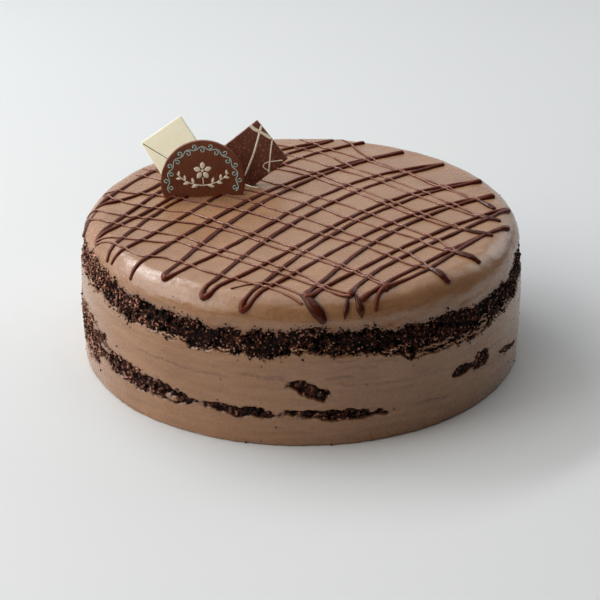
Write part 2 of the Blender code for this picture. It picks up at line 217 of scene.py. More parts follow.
# Printed twigs and flower, in mm from the round plaque's centre
TWIG = ((0.5, -2.0), (5, -1.2), (10, 1.0), (14, 4.6))
LEAVES = (0.14, 0.3, 0.46, 0.62, 0.78, 0.92)  # their places along a twig
STEM = ((0, 2.2), (0.2, 0), (0, -2.0))
FLOWER_HEIGHT = 6.2

# Depth of the crumb behind the smooth wall, and how far it draws in under the icing
UPPER_BASE = -1.15 * MM
LOWER_BASE = -0.55 * MM
UPPER_DRAW = 2.2 * MM
LOWER_DRAW = 2.6 * MM  # and the icing under the lower crumb

# Loose grains: how many are tried, least size, growth, power of its random spread, and how far
# they stand out against their size
UPPER_CRUMBS = (13500, 0.26 * MM, 0.6 * MM, 0.45, 0.2)
LOWER_CRUMBS = (17000, 0.2 * MM, 0.4 * MM, 0.45, 0.1)
SCRAPS = (2000, 0.16 * MM, 0.5 * MM, 0.5, 0.3)
STRAYS = (2500, 0.14 * MM, 0.46 * MM, 0.6, 0.15)
# Kinds of stray crumbs as running shares: above the bare band, below it, near patches, anywhere
# on the wall, and from the last share up at the foot
ABOVE, BELOW, NEAR, ANYWHERE = 0.42, 0.68, 0.965, 0.98
SMEARS = 60
FRONT_SMEARS = 34
SMEARED = (19, 50)  # degrees, at the front right
SMEAR_POINTS = 14

# Fineness of the meshes
COLUMNS = 1080  # round the cake, in the parts that show detail
COARSE = 216  # round the smooth middle of the top
CRUMB_COLUMNS = 1300
INNER_REACH = 97 * MM  # where the coarse columns end
FINE_REACH = 98.8 * MM  # where the fine ones start

# The stage, in metres: the room is dark up to one depth and light past the other, and its light
# side lies to the left
FLOOR = 8.0
ROOM_FRONT = 0.1
ROOM_BACK = 0.8
ROOM_LEFT = 0.45
DARK_ROOM = (0.035, 0.03, 0.027, 1)
LIGHT_ROOM = (0.62, 0.65, 0.68, 1)
COOL = (0.95, 0.985, 1.0)
WARM = (1.0, 0.88, 0.76)
# Lights: name, place, width, depth, power, tone
LIGHTS = (
    ("high_left", (-0.8, 0.72, 1.15), 1.2, 0.15, 9.5, COOL),
    ("side_left", (-1.25, -0.1, 0.85), 1.5, 1.5, 16.0, COOL),
    ("front_left", (-1.0, -0.8, 0.9), 1.3, 1.3, 5.5, WARM),
    ("overhead", (-0.1, 0.2, 1.6), 1.8, 1.8, 9.5, COOL),
    ("back_right", (1.1, 0.9, 0.8), 1.0, 1.0, 4.0, COOL),
)
LIT_POINT = (0, 0, 0.04)
CAMERA_PLACE = (-0.0007, -0.8912, 0.4537)
CAMERA_TILT = 64.24  # degrees up from straight down
FOCAL_LENGTH = 107.04  # mm, on a sensor 36 mm wide


# Shapes made of numbers


def smooth(value):
    """Ease from 0 to 1."""
    value = np.clip(value, 0.0, 1.0)
    return value * value * (3 - 2 * value)


def lattice(cells, seed):
    """Repeatable random number between -1 and 1 for each whole-number point."""
    mixed = (cells[:, 0] * 73856093) ^ (cells[:, 1] * 19349663) ^ (cells[:, 2] * 83492791)
    mixed = (mixed ^ (seed * 40503077)) & 0xFFFFFFFF
    mixed = ((mixed ^ (mixed >> 13)) & 0xFFFFFFF) * 1274126177
    mixed = (mixed ^ (mixed >> 17)) & 0xFFFF
    return mixed / 32767.5 - 1


def noise(points, size, seed):
    """Smooth noise between -1 and 1, with waves about twice the size long."""
    cells = points / size
    base = np.floor(cells)
    part = cells - base
    base = base.astype(np.int64)
    part = part ** 3 * (part * (part * 6 - 15) + 10)
    total = np.zeros(len(points))
    for corner in np.ndindex(2, 2, 2):
        weight = np.ones(len(points))
        for axis in range(3):
            weight *= part[:, axis] if corner[axis] else 1 - part[:, axis]
        total += weight * lattice(base + np.array(corner), seed)
    return total


OCTAVE_TURN = np.array(Matrix.Rotation(0.7, 3, Vector((1, 2, 3))))


def rough(points, size, layers, seed):
    """Layered noise: each layer is half as large and half as strong as the one before."""
    total = np.zeros(len(points))
    for layer in range(layers):
        points = points @ OCTAVE_TURN
        total += noise(points, size / 2 ** layer, seed + layer) / 2 ** layer
    return total


def pebbles(points, size, seed):
    """0 in the grooves between irregular grains, towards 1 in their middles."""
    cells = points / size
    base = np.floor(cells).astype(np.int64)
    nearest = np.full(len(points), 9.0)
    second = nearest.copy()
    for step in np.ndindex(3, 3, 3):
        corner = base + np.array(step) - 1
        jitter = np.stack([lattice(corner, seed + axis) for axis in range(3)], axis=1)
        away = np.linalg.norm(cells - corner - 0.5 - 0.45 * jitter, axis=1)
        second = np.minimum(second, np.maximum(nearest, away))
        nearest = np.minimum(nearest, away)
    return second - nearest


# The cake's surface


def side_radius(height):
    """Radius of the smooth wall at a height."""
    low = np.clip(1 - height / BELLY_HEIGHT, 0, None)
    high = np.clip((height - BELLY_HEIGHT) / (RIM_HEIGHT - SHOULDER - BELLY_HEIGHT), 0, 1)
    return RADIUS - FOOT_TUCK * low ** 2 - TOP_TUCK * high ** 2


FLAT_RADIUS = float(side_radius(RIM_HEIGHT - SHOULDER)) - SHOULDER
ARC = SHOULDER * math.pi / 2


def outward(angle):
    """Level unit vectors away from the axis at angles in degrees."""
    turn = np.radians(angle)
    return np.stack([np.sin(turn), -np.cos(turn), np.zeros_like(turn)], axis=-1)


def at_radius(angle, radius, height):
    """Points at angles, radii and heights."""
    points = outward(angle) * np.asarray(radius)[..., None]
    points[..., 2] = height
    return points


def on_surface(angle, reach, lift=0.0):
    """Points on the top, the shoulder or the wall, lifted along the normals, and the normals."""
    angle, reach, lift = np.broadcast_arrays(
        np.asarray(angle, float), np.asarray(reach, float), np.asarray(lift, float))
    turn = np.clip(reach - FLAT_RADIUS, 0, ARC) / SHOULDER
    below = np.clip(reach - FLAT_RADIUS - ARC, 0, None)
    crown = CROWN * (1 - np.clip(reach / FLAT_RADIUS, 0, 1) ** 2)
    height = RIM_HEIGHT + crown - SHOULDER * (1 - np.cos(turn)) - below
    radius = np.minimum(reach, FLAT_RADIUS) + SHOULDER * np.sin(turn)
    radius = np.where(below > 0, side_radius(height), radius)
    around = outward(angle)
    up = np.array([0.0, 0.0, 1.0])
    normal = around * np.sin(turn)[..., None] + up * np.cos(turn)[..., None]
    point = around * radius[..., None] + up * height[..., None]
    return point + normal * lift[..., None], normal


def reach_at(height):
    """The way along the surface from the axis down to a height on the shoulder or the wall."""
    turn = np.arccos(np.clip(1 - (RIM_HEIGHT - height) / SHOULDER, 0, 1))
    return FLAT_RADIUS + SHOULDER * turn + np.clip(RIM_HEIGHT - SHOULDER - height, 0, None)


def seam(keys, angle):
    """Heights of a wavy seam at angles, eased between its keys all the way round."""
    height = np.zeros_like(angle)
    for index, (start, low) in enumerate(keys):
        end, high = keys[(index + 1) % len(keys)]
        along = (angle - start) % 360
        span = (end - start) % 360
        height = np.where(along <= span, low + (high - low) * smooth(along / span), height)
    return height * MM


def ragged(keys, angle, seed):
    """A seam with the torn edge that the scraper leaves."""
    spots = outward(angle) * RADIUS
    return (seam(keys, angle) + TEARS[0] * rough(spots, TEARS[1], 2, seed)
            + NICKS[0] * rough(spots, NICKS[1], 3, seed + 7))


def band_top(angle):
    """Torn edge of the icing above the upper sponge's bare band."""
    return ragged(UPPER_TOP, angle, 5)


def band_bottom(angle):
    """Torn edge of the icing below the bare band."""
    return ragged(UPPER_BOTTOM, angle, 15)


def wall_spots(angle, height):
    """Points on a plain cylinder as wide as the cake, for the noise on its wall."""
    return at_radius(angle, RADIUS, height)


def turned_from(start, angle):
    """How far angles lie from a start, between -180 and 180 degrees."""
    return (angle - start + 180) % 360 - 180


def bareness(angle, height):
    """How far the coat is scraped through: below 0 under it, up to 1 in the middle of a patch."""
    best = np.full(np.shape(angle), -9.0)
    for middle, half_width, level, slope, half_height in PATCHES:
        across = turned_from(middle, angle)
        rise = height / MM - level - slope * across
        best = np.maximum(best, 1 - (across / half_width) ** 2 - (rise / half_height) ** 2)
    spots = wall_spots(angle, height)
    broad = rough(spots * np.array([1, 1, 2.5]), 9 * MM, 3, 31)
    fine = rough(spots * np.array([0.6, 0.6, 1]), 2.4 * MM, 3, 43)
    return best + 0.2 * broad + 0.52 * fine


def scored(angle, height):
    """Depth in mm of the lines that the scraper scored, wavy and uneven in width and depth."""
    deepest = np.zeros(np.shape(angle))
    for first, low, last, high, depth in GROOVES:
        along = turned_from(first, angle) / (last - first)
        middle = low + (high - low) * along + 0.35 * np.sin(angle * 0.9 + first)
        width = 0.45 + 0.12 * np.sin(angle * 2.3 + low)
        strength = 0.85 + 0.15 * np.sin(angle * 3.7 + high)
        across = strength * np.exp(-((height / MM - middle) / width) ** 2)
        deepest = np.maximum(deepest, depth * across * smooth(6 * np.minimum(along, 1 - along)))
    return deepest


# Meshes


def side_faces(rows, count):
    """Faces between rows of points that each go once round."""
    faces = []
    for here in range(0, (rows - 1) * count, count):
        there = here + count
        for index in range(count):
            follow = (index + 1) % count
            faces.append([here + index, here + follow, there + follow, there + index])
    return faces


def tube_faces(rows, count):
    """The same, with a face over each end."""
    ends = [list(range(count))[::-1], list(range((rows - 1) * count, rows * count))]
    return side_faces(rows, count) + ends


def add_mesh(name, points, faces, material, replaced=None):
    """A smooth-shaded piece that rides on the cake."""
    mesh = bpy.data.meshes.new(name)
    mesh.from_pydata(np.asarray(points).tolist(), [], faces)
    mesh.shade_smooth()
    mesh.materials.append(material)
    piece = bpy.data.objects.new(name, mesh)
    bpy.context.scene.collection.objects.link(piece)
    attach(piece, "root")
    if replaced:
        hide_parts(replaced)
    return piece


def add_values(piece, name, values):
    """A number for each point of the mesh, for its material."""
    layer = piece.data.attributes.new(name, "FLOAT", "POINT")
    layer.data.foreach_set("value", np.asarray(values, np.float32))


def add_skin(name, rings, axis, material, replaced, attribute, values):
    """A piece with a skin over rings, closed on the axis at a height above or inside the first
    ring and at one below or inside the last.

    A ring has as many points as the one before or a whole number of times as many. values are
    the rings' own, for the attribute.
    """
    points = np.concatenate([*rings, [(0, 0, height) for height in axis]])
    tip = len(points) - 2
    faces = []
    start = 0
    for inner, outer in zip(rings, rings[1:]):
        count, times = len(inner), len(outer) // len(inner)
        second = start + count
        for index in range(count):
            follow = (index + 1) % count
            outside = [second + (index * times + step) % len(outer) for step in range(times + 1)]
            faces.append([start + index, *outside, start + follow])
        start += count
    count = len(rings[0])
    faces += [[tip, index, (index + 1) % count] for index in range(count)]
    count = len(rings[-1])
    faces += [[tip + 1, start + (index + 1) % count, start + index] for index in range(count)]
    piece = add_mesh(name, points, faces, material, replaced)
    add_values(piece, attribute, np.concatenate([*values, np.zeros(2)]))


class Pile:
    """Many small shapes joined to one mesh."""

    def __init__(self):
        self.points = []
        self.faces = []
        self.values = []
        self.count = 0

    def add(self, points, faces, value=0.0):
        self.points.append(points)
        self.faces += [[self.count + index for index in face] for face in faces]
        self.values.append(np.broadcast_to(value, len(points)))
        self.count += len(points)

    def finish(self, name, material, slot, replaced=None):
        points = np.concatenate(self.points)
        piece = add_mesh(name, points, self.faces, material, replaced)
        # on drizzle the shade value carries the painted highlight along the strands' top ridges
        add_values(piece, "shade", np.concatenate(self.values))


def icosahedron():
    """Points and faces of a ball of 20 triangles."""
    cage = bmesh.new()
    bmesh.ops.create_icosphere(cage, subdivisions=1, radius=1)
    points = np.array([vertex.co for vertex in cage.verts])
    faces = np.array([[vertex.index for vertex in face.verts] for face in cage.faces])
    cage.free()
    return points, faces


def random_turns(random, count):
    """Random rotation matrices."""
    quat = random.normal(size=(count, 4))
    w, x, y, z = (quat / np.linalg.norm(quat, axis=1, keepdims=True)).T
    rows = [1 - 2 * (y * y + z * z), 2 * (x * y - z * w), 2 * (x * z + y * w),
            2 * (x * y + z * w), 1 - 2 * (x * x + z * z), 2 * (y * z - x * w),
            2 * (x * z - y * w), 2 * (y * z + x * w), 1 - 2 * (x * x + y * y)]
    return np.stack(rows, axis=1).reshape(count, 3, 3)


def grains(name, random, spots, sizes, lumpiness, material):
    """Irregular grains at the spots, joined to one piece."""
    ball, ball_faces = icosahedron()
    count = len(spots)
    lumps = ball[None] * random.uniform(1 - lumpiness, 1 + lumpiness, (count, len(ball), 1))
    lumps = lumps * random.uniform(0.6, 1.35, (count, 1, 3)) * sizes[:, None, None]
    points = np.einsum("nij,nkj->nki", random_turns(random, count), lumps) + spots[:, None]
    faces = ball_faces[None] + np.arange(count)[:, None, None] * len(ball)
    piece = add_mesh(name, points.reshape(-1, 3), faces.reshape(-1, 3).tolist(), material)
    add_values(piece, "shade", np.repeat(random.uniform(-1, 1, count), len(ball)))


# Materials


def srgb(red, green, blue):
    """Linear colour of a display colour given as 0 to 255."""
    parts = [value / 255 for value in (red, green, blue)]
    return (*(part / 12.92 if part <= 0.04045 else ((part + 0.055) / 1.055) ** 2.4
              for part in parts), 1)


def feed(tree, socket, value):
    """Link a socket to the one that the value is, or set it to the value."""
    if isinstance(value, bpy.types.NodeSocket):
        tree.links.new(value, socket)
    else:
        socket.default_value = value


def add_node(tree, kind, settings=None, **inputs):
    """A node with its settings, and its inputs set or linked by their names."""
    node = tree.nodes.new(kind)
    for key, value in (settings or {}).items():
        setattr(node, key, value)
    for key, value in inputs.items():
        feed(tree, node.inputs[key.replace("_", " ")], value)
    return node


def add_math(tree, operation, *values):
    """The result of a calculation with values or sockets."""
    node = add_node(tree, "ShaderNodeMath", {"operation": operation})
    for socket, value in zip(node.inputs, values):
        feed(tree, socket, value)
    return node.outputs["Value"]


def add_ramp(tree, value, stops):
    """A value or colour that follows stops of (position, value or colour)."""
    node = add_node(tree, "ShaderNodeValToRGB", Fac=value)
    elements = node.color_ramp.elements
    while len(elements) < len(stops):
        elements.new(1.0)
    for element, (position, colour) in zip(elements, stops):
        element.position = position
        element.color = colour if isinstance(colour, tuple) else (colour,) * 3 + (1,)
    return node.outputs["Color"]


class Finish:
    """A material that is put together from noise in the object's own coordinates."""

    def __init__(self, name, **constants):
        self.material = bpy.data.materials.new(name)
        self.material.use_nodes = True
        self.tree = self.material.node_tree
        self.shader = self.tree.nodes["Principled BSDF"]
        for key, value in constants.items():
            self.shader.inputs[key.replace("_", " ")].default_value = value
        self.coords = self.add("ShaderNodeTexCoord").outputs["Object"]

    def add(self, kind, settings=None, **inputs):
        return add_node(self.tree, kind, settings, **inputs)

    def noise(self, size, detail=3.0, roughness=0.55, flatten=None):
        """Noise from 0 to 1 with marks of about the given size, drawn out level if flattened."""
        vector = self.coords
        if flatten:
            vector = self.add("ShaderNodeMapping", Vector=vector,
                              Scale=(flatten, flatten, 1.0)).outputs["Vector"]
        return self.add("ShaderNodeTexNoise", Vector=vector, Scale=1 / size, Detail=detail,
                        Roughness=roughness).outputs["Fac"]

    def cells(self, size):
        """Scattered cells: how far each point is from its cell's middle, and cell colours."""
        return self.add("ShaderNodeTexVoronoi", {"feature": "F1"}, Vector=self.coords,
                        Scale=1 / size).outputs

    def value(self, name):
        return self.add("ShaderNodeAttribute", {"attribute_name": name}).outputs["Fac"]

    def ramp(self, value, *stops):
        return add_ramp(self.tree, value, stops)

    def math(self, operation, first, second):
        return add_math(self.tree, operation, first, second)

    def total(self, *parts):
        """The sum of values, each times its weight."""
        value = 0.0
        for part, weight in parts:
            value = self.math("ADD", value, self.math("MULTIPLY", part, weight))
        return value

    def tint(self, colour, tone, value, *stops):
        """The colour, turned to a tone by a share that follows the value's stops."""
        return self.add("ShaderNodeMixRGB", {"blend_type": "MIX"}, Fac=self.ramp(value, *stops),
                        Color1=colour, Color2=tone).outputs["Color"]

    def dotted(self, colour, tone, size, radius, soft):
        """The colour with scattered dots. Radius and soft edge are shares of their distance."""
        return self.tint(colour, tone, self.cells(size)["Distance"], (radius, 1),
                         (radius + soft, 0))

    def finish(self, colour, roughness=None, bumps=()):
        """Link the colour and the roughness, and bumps of (height, depth) one on the other."""
        self.tree.links.new(colour, self.shader.inputs["Base Color"])
        if roughness is not None:
            self.tree.links.new(roughness, self.shader.inputs["Roughness"])
        normal = None
        for height, depth in bumps:
            links = {"Normal": normal} if normal else {}
            normal = self.add("ShaderNodeBump", Height=height, Distance=depth, Strength=1.0,
                              **links).outputs["Normal"]
        if normal:
            self.tree.links.new(normal, self.shader.inputs["Normal"])
        return self.material


def icing_finish():
    """Pale cocoa icing: buttery shine, with faint scraper streaks, cocoa specks, and pinholes and
    glints painted as dark and pale dots.
    """
    made = Finish("icing_finish", IOR=1.5, Specular_IOR_Level=0.7, Sheen_Weight=0.14,
                  Sheen_Roughness=0.4)
    fine = made.noise(1.3 * MM, 4, 0.65)
    streaks = made.noise(2.6 * MM, 4, 0.6, 0.10)
    colour = made.ramp(made.noise(26 * MM), (0.3, srgb(147, 103, 69)), (0.7, srgb(157, 114, 79)))
    colour = made.tint(colour, srgb(174, 135, 102), streaks, (0.5, 0), (0.8, 0.55))
    colour = made.tint(colour, srgb(130, 88, 58), streaks, (0.25, 0.6), (0.48, 0))
    colour = made.tint(colour, srgb(132, 86, 54), fine, (0.5, 0), (0.75, 0.5))
    # painted shade: dark dots for pinholes
    colour = made.dotted(colour, srgb(84, 48, 32), 5.5 * MM, 0.05, 0.04)
    # painted glints: pale dots for sparkles of light
    colour = made.dotted(colour, srgb(196, 154, 114), 3.6 * MM, 0.06, 0.04)
    colour = made.dotted(colour, srgb(122, 80, 54), 4.3 * MM, 0.06, 0.05)
    # darker where the icing is scraped down to a film over the crumb, and painted shade in the
    # scored grooves
    colour = made.tint(colour, srgb(92, 54, 36), made.value("thin_icing_and_groove_shade"), (0.0, 0), (0.75, 1))
    shine = made.ramp(fine, (0.3, 0.21), (0.7, 0.34))
    return made.finish(colour, shine, ((streaks, 0.08 * MM), (fine, 0.08 * MM)))


def crumb_finish(name, dark, middle, light, bright):
    """Moist crumb: near black in its holes, brown on its grains, each grain its own tone.

    Its left side, towards the lights, is painted paler.
    """
    made = Finish(name, IOR=1.4, Specular_IOR_Level=0.15)
    grain = made.noise(0.9 * MM, 3, 0.6)
    colours = made.cells(1.15 * MM)["Color"]
    own = made.add("ShaderNodeSeparateColor", Color=colours).outputs["Red"]
    side = made.add("ShaderNodeSeparateXYZ", Vector=made.coords).outputs["X"]
    # painted light: the tone rises towards the left, the side the lights stand on
    painted_left_light = made.math("MAXIMUM", made.math("SUBTRACT", -50 * MM, side), 0.0)
    # the shade value paints shade into the crumb rings' hollows and light onto their highest
    # grains; on loose grains it is their own random tone
    tone = made.total((own, 0.50), (made.value("shade"), 0.20), (grain, 0.45),
                      (made.noise(6 * MM), 0.45), (painted_left_light, 1.9))
    colour = made.ramp(made.math("MULTIPLY", tone, 0.86), (0.56, dark), (0.72, middle),
                       (0.83, light), (0.93, bright))
    return made.finish(colour, made.ramp(grain, (0.3, 0.85), (0.7, 0.5)), ((grain, 0.4 * MM),))


def drizzle_finish(name, dark, light, painted_crest_highlight, specular, shine):
    """Glossy dark chocolate with faint mottling and a painted highlight along the top of a strand.
    """
    made = Finish(name, IOR=1.46, Specular_IOR_Level=specular, Specular_Tint=(1.0, 0.7, 0.58, 1))
    mottle = made.noise(4 * MM)
    colour = made.ramp(mottle, (0.3, dark), (0.7, light))
    # painted highlight: lighter along the top ridge of each strand, where the lights catch it
    colour = made.tint(colour, painted_crest_highlight, made.value("shade"), (0.55, 0), (0.95, 1))
    shine = made.ramp(made.noise(0.9 * MM, 2), (0.3, shine - 0.05), (0.7, shine + 0.07))
    return made.finish(colour, shine, ((mottle, 0.12 * MM),))


def plaque_finish(name, base, speck, bright, dots, speck_size, specks):
    """Set chocolate with fine specks and sparse dots in it and a faint bloom."""
    made = Finish(name, IOR=1.46)
    broad = made.noise(8 * MM)
    fine = made.noise(speck_size, 3, 0.7)
    colour = made.ramp(broad, (0.3, base), (0.75, bright))
    colour = made.tint(colour, speck, fine, (0.55, 0), (0.62, specks))
    colour = made.dotted(colour, dots, 1.5 * MM, 0.16, 0.12)
    shine = made.ramp(broad, (0.3, 0.36), (0.7, 0.5))
    return made.finish(colour, shine, ((fine, 0.05 * MM), (broad, 0.1 * MM)))


def print_finish(name, first, second):
    """Coloured cocoa butter printed on a plaque."""
    made = Finish(name, IOR=1.46)
    grain = made.noise(0.6 * MM, 3, 0.7)
    colour = made.ramp(grain, (0.35, first), (0.65, second))
    return made.finish(colour, made.ramp(grain, (0.3, 0.4), (0.7, 0.55)), ((grain, 0.04 * MM),))


def floor_finish():
    """Plain pale floor with the faintest cloudiness."""
    made = Finish("floor_finish", Roughness=0.9)
    cloud = made.noise(0.5, 2)
    return made.finish(made.ramp(cloud, (0.3, srgb(206, 206, 206)), (0.7, srgb(209, 209, 208))))


# The icing


def wall_marks(angle, height):
    """Relief that the scraper leaves on the icing: long level streaks and soft waves."""
    spots = wall_spots(angle, height)
    streaks = rough(spots * np.array([0.16, 0.16, 1.0]), STREAKS[1], 3, 61)
    waves = rough(spots * np.array([0.5, 0.5, 1.0]), WAVES[1], 2, 71)
    return STREAKS[0] * streaks + WAVES[0] * waves


def icing_cap(material):
    """The icing on the top and over the shoulder, down to the ragged seam above the crumb."""
    rows_inside, rows_outside = 44, 38
    coarse = np.arange(COARSE) * 360 / COARSE
    fine = np.arange(COLUMNS) * 360 / COLUMNS
    end = reach_at(band_top(fine))
    rings, thin_icing_and_groove_shade = [], []

    def add_ring(angle, reach, lift=0.0, down=0.0):
        points, normals = on_surface(angle, reach, lift)
        relief = 0.25 * MM * rough(points * np.array([1, 1, 2.5]), 16 * MM, 3, 51)
        relief += 0.05 * MM * rough(points, 2.5 * MM, 2, 55)
        relief += wall_marks(angle, points[:, 2]) * np.clip(1 - normals[:, 2], 0, 1)
        points = points + normals * relief[:, None]
        points[:, 2] -= down
        rings.append(points)
        thin_icing_and_groove_shade.append(np.zeros(len(points)))

    for row in range(1, rows_inside + 1):
        add_ring(coarse, np.full(COARSE, INNER_REACH * row / rows_inside))
    for row in range(rows_outside + 1):
        reach = FINE_REACH + (end - FINE_REACH) * row / rows_outside
        add_ring(fine, reach)
        thin_icing_and_groove_shade[-1] += 0.35 * smooth(1 - (end - reach) / (3 * MM))
    for inward, down in ((0.35, 0.4), (0.9, 0.75), (1.8, 0.8), (4.0, 0.4), (9.0, 0.0)):
        add_ring(fine, end, -inward * MM, down * MM)
        thin_icing_and_groove_shade[-1] += 0.6
    add_skin("icing_cap", rings, (RIM_HEIGHT + CROWN, 62 * MM), material, "icing_top",
             "thin_icing_and_groove_shade", thin_icing_and_groove_shade)


def icing_base(material):
    """The icing round the lower layer. Where it is scraped through it dives under the crumb."""
    rows = 68
    angle = np.arange(COLUMNS) * 360 / COLUMNS
    edge = band_bottom(angle)
    rings, thin_icing_and_groove_shade = [], []

    def add_ring(height, inward=0.0):
        bare = bareness(angle, height)
        dip = LOWER_DRAW * smooth(bare * 2.4)
        swell = 0.25 * MM * smooth(1 - np.abs(bare + 0.12) / 0.16)
        line = scored(angle, height)
        radius = side_radius(height) - dip + swell - inward + wall_marks(angle, height)
        rings.append(at_radius(angle, radius - line * MM, height))
        # scraped-down icing over the patches, and painted shade along the scored lines
        thin_icing_and_groove_shade.append(np.maximum(0.8 * smooth((bare + 0.22) / 0.4), np.minimum(1.6 * line, 0.75)))

    for inward, down in ((9.0, 0.0), (4.0, 0.3), (1.8, 0.0), (0.9, 0.05), (0.35, 0.35)):
        add_ring(edge - down * MM, inward * MM)
        thin_icing_and_groove_shade[-1] += 0.5
    start = edge - 0.8 * MM
    for row in range(rows + 1):
        add_ring(start + (FOOT_ROUND - start) * row / rows)
    ragged_foot = 0.35 * MM * rough(outward(angle) * RADIUS, 6 * MM, 3, 91)
    for inward, height in ((0.2, 0.45), (0.6, 0.12), (1.3, 0.0)):
        add_ring(np.full(COLUMNS, height * MM), inward * MM - ragged_foot)
    add_skin("icing_base", rings, (48 * MM, 0.0), material, "icing_lower", "thin_icing_and_groove_shade", thin_icing_and_groove_shade)


# The crumb


def crumb_relief(spots):
    """Depth of the crumb's surface: torn lumps, grains and deep holes."""
    lumps = 0.5 * MM * rough(spots, 7 * MM, 2, 101)
    large = 0.9 * MM * np.minimum(pebbles(spots, 2.8 * MM, 111), 0.6)
    small = 0.8 * MM * np.minimum(pebbles(spots, 1.3 * MM, 121), 0.5)
    holes = 2.0 * MM * smooth((rough(spots, 2.7 * MM, 2, 131) - 0.25) / 0.4)
    return lumps + large + small - holes


def crumb_radius(angle, height, base):
    """Radius of the crumb and its relief, at angles and heights."""
    spots = wall_spots(angle, height)
    relief = crumb_relief(spots.reshape(-1, 3)).reshape(np.shape(angle))
    return side_radius(height) + base + relief, relief


def crumb_ring(name, lowest, highest, rows, covered, base, material, replaced, core):
    """A ring of crumb between two seams. covered gives how far it draws in at each point.

    Its value goes from -1.6 deep in the crumb to 1.2 on its highest grains, and the crumb finish
    paints shade into the deep parts and light onto the high ones by it.
    """
    angle = np.arange(CRUMB_COLUMNS) * 360 / CRUMB_COLUMNS
    rings, painted_relief_shading = [], []
    for row in range(rows + 1):
        height = highest(angle) + (lowest(angle) - highest(angle)) * row / rows
        radius, relief = crumb_radius(angle, height, base)
        rings.append(at_radius(angle, radius - covered(angle, height), height))
        # painted shade and light from the relief: lower where the crumb is deep, higher on its
        # highest grains
        painted_relief_shading.append(np.clip((relief - 0.35 * MM) / (0.9 * MM), -1.6, 1.2))
    add_skin(name, rings, core, material, replaced, "shade", painted_relief_shading)


def upper_covered(angle, height):
    """The upper crumb draws in above and below its bare band."""
    outside = np.maximum(height - band_top(angle), band_bottom(angle) - height) / MM
    return UPPER_DRAW * smooth((outside + 0.2) / 1.2)


def lower_covered(angle, height):
    """The lower crumb draws in under the icing."""
    return LOWER_DRAW * smooth((0.10 - bareness(angle, height)) / 0.35)


def crumb_rings(upper_material, lower_material):
    crumb_ring("crumb_upper", lambda angle: band_bottom(angle) - 2.2 * MM,
               lambda angle: band_top(angle) + 2.2 * MM, 40, upper_covered,
               UPPER_BASE, upper_material, "sponge_upper", (66 * MM, 50 * MM))
    crumb_ring("crumb_lower", lambda angle: np.full_like(angle, 10 * MM),
               lambda angle: np.full_like(angle, 41 * MM), 46, lower_covered,
               LOWER_BASE, lower_material, "sponge_lower", (38 * MM, 13 * MM))


def pick_spots(random, count, low, high, wanted):
    """Random angles and heights at which wanted(angle, height) is above 0."""
    angle = random.uniform(-180, 180, count)
    height = random.uniform(low, high, count)
    keep = wanted(angle, height) > 0
    return angle[keep], height[keep]


def place(angle, height, lift):
    """Points over the smooth wall."""
    return at_radius(angle, side_radius(height) + lift, height)


def sprinkle(name, random, angle, height, base, kind, lumpiness, material):
    """Loose grains of a kind on the crumb."""
    least, growth, power, stand = kind[1:]
    relief = crumb_radius(angle, height, base)[1]
    sizes = least + growth * random.power(power, len(angle))
    spots = place(angle, height, base + relief + stand * sizes)
    grains(name, random, spots, sizes, lumpiness, material)


def loose_crumbs(random, upper_material, lower_material):
    """Grains on the bare band and on the patches."""
    def in_band(angle, height):
        inside = np.minimum(band_top(angle) - height, height - band_bottom(angle))
        return inside + 0.2 * MM

    angle, height = pick_spots(random, UPPER_CRUMBS[0], 42 * MM, 71 * MM, in_band)
    sprinkle("crumbs_upper", random, angle, height, UPPER_BASE, UPPER_CRUMBS, 0.3,
             upper_material)
    angle, height = pick_spots(random, LOWER_CRUMBS[0], 11 * MM, 41 * MM,
                               lambda angle, height: bareness(angle, height) - 0.12)
    sprinkle("crumbs_lower", random, angle, height, LOWER_BASE, LOWER_CRUMBS, 0.3,
             lower_material)


def icing_scraps(random, material):
    """Scraps of icing caught on the crumb, most of them along the two seams."""
    count = SCRAPS[0]
    angle = random.uniform(-180, 180, count)
    upper_seam = random.uniform(0, 1, count) < 0.5
    away = random.exponential(2.6 * MM, count)
    height = np.where(upper_seam, band_top(angle) - away, band_bottom(angle) + away)
    sprinkle("icing_scraps", random, angle, height, UPPER_BASE, SCRAPS, 0.35, material)


def stray_crumbs(random, material):
    """Crumbs on the icing: thick along both seams and the patches, thin elsewhere."""
    count, least, growth, power, stand = STRAYS
    angle = random.uniform(-180, 180, count)
    kind = random.uniform(0, 1, count)
    above = band_top(angle) + random.exponential(0.7 * MM, count)
    below = band_bottom(angle) - random.exponential(0.8 * MM, count)
    wall = random.uniform(2 * MM, 44 * MM, count)
    foot = random.exponential(0.8 * MM, count) + 0.5 * MM
    height = np.where(kind < ABOVE, above, np.where(kind < BELOW, below, wall))
    height = np.where(kind > ANYWHERE, foot, height)
    near = bareness(angle, height) + random.exponential(0.14, count)
    keep = (kind < BELOW) | (kind > NEAR) | ((near > 0.05) & (near < 0.6))
    angle, height = angle[keep], np.minimum(height[keep], RIM_HEIGHT - 3 * MM)
    spots, normals = on_surface(angle, reach_at(height))
    sizes = least + growth * random.power(power, len(angle))
    spots += normals * (wall_marks(angle, height) + stand * sizes)[:, None]
    grains("stray_crumbs", random, spots, sizes, 0.35, material)


